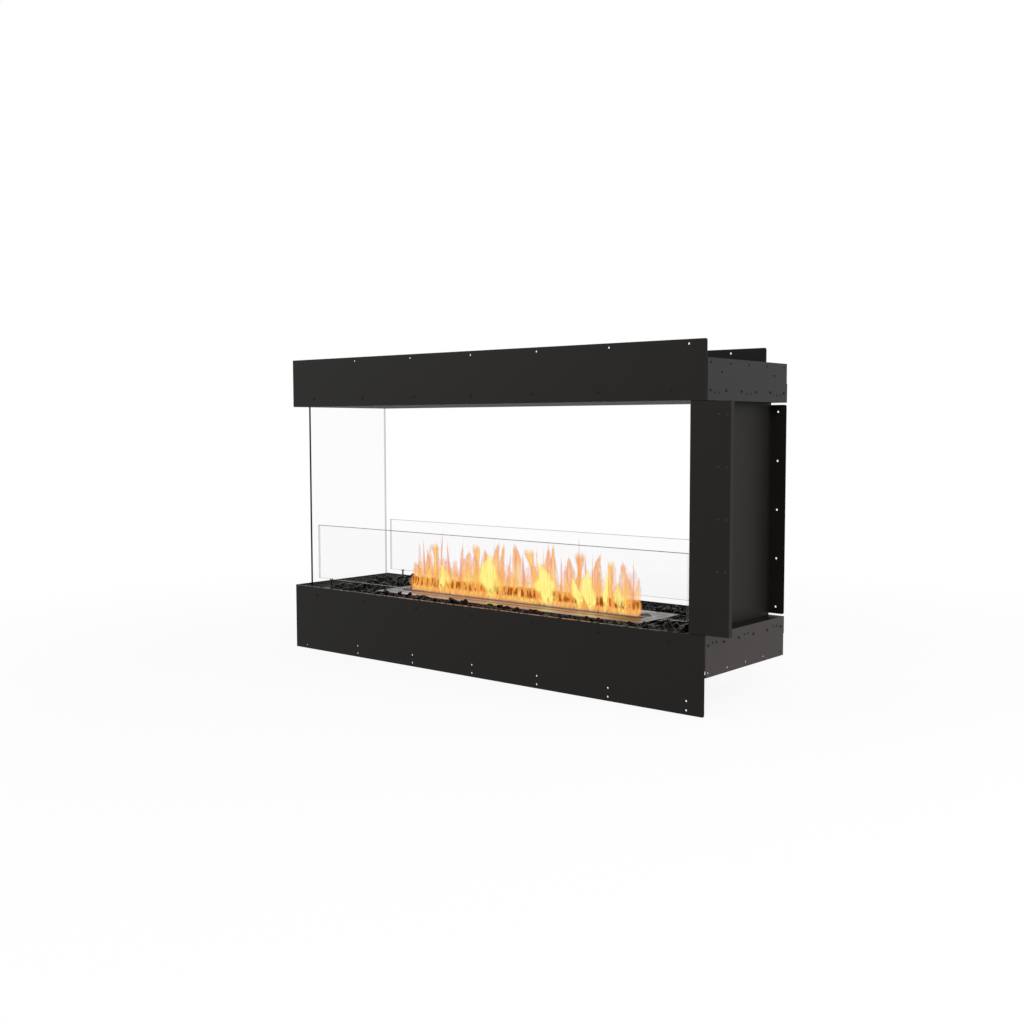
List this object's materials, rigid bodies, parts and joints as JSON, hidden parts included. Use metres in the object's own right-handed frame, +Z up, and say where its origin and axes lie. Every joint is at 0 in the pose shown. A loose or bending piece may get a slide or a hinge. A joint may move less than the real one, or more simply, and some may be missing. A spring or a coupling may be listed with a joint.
{
  "type": "bioethanol fireplace insert",
  "caption": "Low long fireplace insert open to the front, back and one end: black steel base and header, glass end, low glass screens, a long steel burner in black coal.",
  "frame": {"origin": "under the middle of the whole piece, level with the lower edges of the base fascias", "axes": "+X along the length towards the end wall, -Y out of the front fascias, +Z up"},
  "size_m": [1.2396, 0.3138, 0.71],
  "materials": {
    "black_coat": "satin black heat-proof powder coat",
    "grey_coat": "satin dark grey heat-proof powder coat",
    "plated_steel": "dull zinc plate",
    "brushed_stainless": "fine brushed stainless steel",
    "clear_glass": "clear polished tempered glass",
    "fibre_board": "off-white pressed ceramic fibre",
    "seal_rubber": "matt black heat-proof seal",
    "black_coal": "crushed black glass coal, rough with shiny chips"
  },
  "bodies": {
    "housing": {"base_front_fascia": "black_coat", "base_left_fascia": "black_coat", "base_back_fascia": "black_coat", "base_front_frame": "black_coat", "base_back_frame": "black_coat", "base_left_panel": "black_coat", "base_end_deck": "black_coat", "media_tray": "black_coat", "header_front_fascia": "black_coat", "header_left_fascia": "black_coat", "header_back_fascia": "black_coat", "header_front_frame": "black_coat", "header_back_frame": "black_coat", "header_left_panel": "black_coat", "header_soffit": "black_coat", "header_lid": "black_coat", "wall_panel": "black_coat", "wall_front_flange": "black_coat", "wall_back_flange": "black_coat", "wall_liner": "black_coat", "side_glass_sill": "black_coat", "side_glass_head_channel": "black_coat", "front_screen_posts": "black_coat", "back_screen_posts": "black_coat", "base_front_screws": "black_coat", "base_left_screws": "black_coat", "base_back_screws": "black_coat", "base_side_screws": "black_coat", "header_front_screws": "black_coat", "header_left_screws": "black_coat", "header_back_screws": "black_coat", "header_side_screws": "black_coat", "base_rivets": "black_coat", "header_rivets": "black_coat", "base_right_panel": "grey_coat", "header_right_panel": "grey_coat", "tray_crossmembers": "plated_steel", "header_stiffeners": "plated_steel", "wall_bottom_angle": "plated_steel", "wall_top_angle": "plated_steel", "wall_screws": "plated_steel", "post_nuts": "plated_steel", "burner_rails": "plated_steel", "side_glass": "clear_glass", "header_insulation": "fibre_board", "wall_insulation": "fibre_board", "side_glass_lower_seal": "seal_rubber", "side_glass_upper_seal": "seal_rubber", "coal_bed": "black_coal"},
    "burner": {"burner_casing": "brushed_stainless", "fuel_tank": "brushed_stainless", "fuel_absorber": "fibre_board", "burner_top_plate": "brushed_stainless", "shutter_guides": "brushed_stainless"},
    "shutter_plate": {"shutter": "brushed_stainless"},
    "front_glass": {"front_screen": "clear_glass"},
    "back_glass": {"back_screen": "clear_glass"}
  },
  "joints": [
    {"name": "burner_lift", "type": "slide", "parent": "housing", "child": "burner", "axis": [0, 0, 1], "range_m": [0, 0.25]},
    {"name": "shutter_slide", "type": "slide", "parent": "burner", "child": "shutter_plate", "axis": [0, -1, 0], "range_m": [0, 0.0355]},
    {"name": "front_screen_lift", "type": "slide", "parent": "housing", "child": "front_glass", "axis": [0, 0, 1], "range_m": [0, 0.25]},
    {"name": "back_screen_lift", "type": "slide", "parent": "housing", "child": "back_glass", "axis": [0, 0, 1], "range_m": [0, 0.25]}
  ]
}
